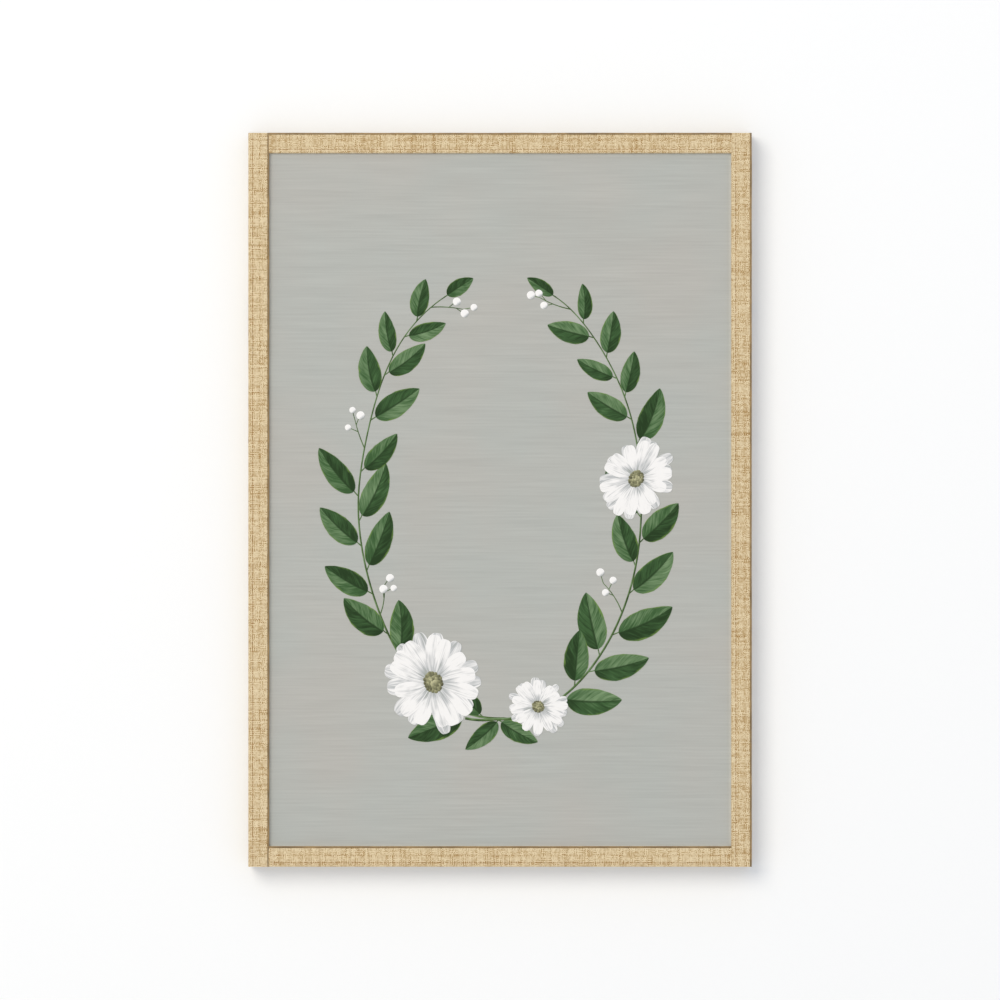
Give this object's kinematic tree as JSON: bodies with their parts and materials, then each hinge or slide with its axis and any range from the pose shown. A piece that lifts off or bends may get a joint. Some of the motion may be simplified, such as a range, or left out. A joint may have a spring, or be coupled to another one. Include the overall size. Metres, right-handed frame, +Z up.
{
  "type": "framed picture",
  "caption": "Upright framed picture: a canvas stretched on a keyed stretcher in a flat linen-wrapped frame with slim dark edge strips, hung by swinging D-rings on its back.",
  "frame": {"origin": "midway between the two D-rings on the back, level with the inner top of each ring where a hook bears, on the plane of the wall", "axes": "+X across the picture to the right as seen from the front, +Y into the wall, +Z up; the picture faces -Y"},
  "size_m": [0.664, 0.0364, 0.968],
  "materials": {
    "linen": "plain-woven natural linen, straw-coloured with slubs, glued over the moulding",
    "edge_strip": "slim dark-brown stained strip, satin",
    "frame_wood": "bare planed softwood",
    "stretcher_wood": "bare planed pine",
    "key_wood": "bare sawn beech",
    "canvas": "primed cotton canvas, painted matt on its face",
    "zinc_steel": "zinc-plated pressed steel",
    "nickel_steel": "nickel-plated steel",
    "bumper_rubber": "soft translucent white rubber"
  },
  "bodies": {
    "frame": {"bottom_rail_core": "frame_wood", "bottom_rail_edge_strip": "edge_strip", "bottom_rail_linen": "linen", "bumper_bottom_left": "bumper_rubber", "bumper_bottom_right": "bumper_rubber", "bumper_top_left": "bumper_rubber", "bumper_top_right": "bumper_rubber", "canvas": "canvas", "canvas_turnover": "canvas", "clip_bottom": "zinc_steel", "clip_left_lower": "zinc_steel", "clip_left_upper": "zinc_steel", "clip_right_lower": "zinc_steel", "clip_right_upper": "zinc_steel", "clip_screw_bottom": "zinc_steel", "clip_screw_left_lower": "zinc_steel", "clip_screw_left_upper": "zinc_steel", "clip_screw_right_lower": "zinc_steel", "clip_screw_right_upper": "zinc_steel", "clip_screw_top": "zinc_steel", "clip_top": "zinc_steel", "dowel_bottom_left_back": "frame_wood", "dowel_bottom_left_front": "frame_wood", "dowel_bottom_right_back": "frame_wood", "dowel_bottom_right_front": "frame_wood", "dowel_top_left_back": "frame_wood", "dowel_top_left_front": "frame_wood", "dowel_top_right_back": "frame_wood", "dowel_top_right_front": "frame_wood", "hanger_screw_left_lower": "nickel_steel", "hanger_screw_left_upper": "nickel_steel", "hanger_screw_right_lower": "nickel_steel", "hanger_screw_right_upper": "nickel_steel", "hanger_strap_left": "nickel_steel", "hanger_strap_right": "nickel_steel", "key_bottom_left_long_bar": "key_wood", "key_bottom_left_short_bar": "key_wood", "key_bottom_right_long_bar": "key_wood", "key_bottom_right_short_bar": "key_wood", "key_top_left_long_bar": "key_wood", "key_top_left_short_bar": "key_wood", "key_top_right_long_bar": "key_wood", "key_top_right_short_bar": "key_wood", "left_stile_core": "frame_wood", "left_stile_edge_strip": "edge_strip", "left_stile_linen": "linen", "right_stile_core": "frame_wood", "right_stile_edge_strip": "edge_strip", "right_stile_linen": "linen", "stretcher_cross_brace": "stretcher_wood", "stretcher_long_bar_left": "stretcher_wood", "stretcher_long_bar_right": "stretcher_wood", "stretcher_short_bar_bottom": "stretcher_wood", "stretcher_short_bar_top": "stretcher_wood", "top_rail_core": "frame_wood", "top_rail_edge_strip": "edge_strip", "top_rail_linen": "linen"},
    "left_ring": {"hanger_ring_left": "nickel_steel"},
    "right_ring": {"hanger_ring_right": "nickel_steel"}
  },
  "joints": [
    {"name": "left_ring_hinge", "type": "hinge", "parent": "frame", "child": "left_ring", "pos_m": [-0.32125, -0.0036, -0.01144], "axis": [-1, 0, 0], "range_deg": [0, 170]},
    {"name": "right_ring_hinge", "type": "hinge", "parent": "frame", "child": "right_ring", "pos_m": [0.32125, -0.0036, -0.01144], "axis": [-1, 0, 0], "range_deg": [0, 170]}
  ]
}
